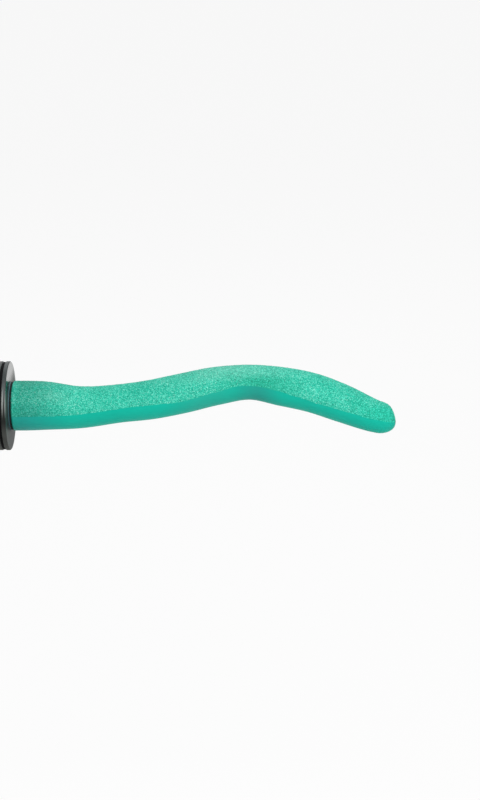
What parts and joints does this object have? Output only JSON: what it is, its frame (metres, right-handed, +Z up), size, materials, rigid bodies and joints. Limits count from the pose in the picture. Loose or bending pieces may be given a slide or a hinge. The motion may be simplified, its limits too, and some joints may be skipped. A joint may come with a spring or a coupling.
{
  "type": "clamp-on bird perch",
  "caption": "Waved cage perch with a gritty top and smooth underside, clamped to the cage wires between large steel washers by a bolt and wing nut.",
  "frame": {"origin": "centre of the clamping plane, the rubber washer's face that bears on the cage wires, on the bolt's axis", "axes": "+X along the bolt and the perch towards the tip, into the cage; +Z up, towards the gritty side"},
  "size_m": [0.2486, 0.05, 0.05],
  "materials": {
    "shell_upper": "matte moulded",
    "shell_lower": "satin moulded",
    "grit": "coarse mineral grit in resin",
    "plug": "satin moulded",
    "bolt": "zinc plated",
    "washer_steel": "turned, dark",
    "washer_rubber": "matte",
    "nut": "cast and plated"
  },
  "bodies": {
    "cage_washers": {"inner_washer": "washer_steel", "rubber_washer": "washer_rubber"},
    "perch": {"upper_shell": "shell_upper", "lower_shell": "shell_lower", "grit_coat": "grit", "end_plug": "plug", "mounting_bolt": "bolt"},
    "loose_washer": {"outer_washer": "washer_steel"},
    "nut": {"wing_nut": "nut"}
  },
  "joints": [
    {"name": "perch_swivel", "type": "hinge", "parent": "cage_washers", "child": "perch", "pos_m": [0, 0, 0], "axis": [1, 0, 0], "continuous": true},
    {"name": "clamp_travel", "type": "slide", "parent": "perch", "child": "loose_washer", "axis": [-1, 0, 0], "range_m": [0, 0.01625]},
    {"name": "nut_turn", "type": "hinge", "parent": "loose_washer", "child": "nut", "pos_m": [-0.0025, 0, 0], "axis": [-1, 0, 0], "range_deg": [0, 4680]}
  ],
  "couplings": [
    {"joint": "nut_turn", "follows": "clamp_travel", "rad_per_m": 5026.5}
  ]
}
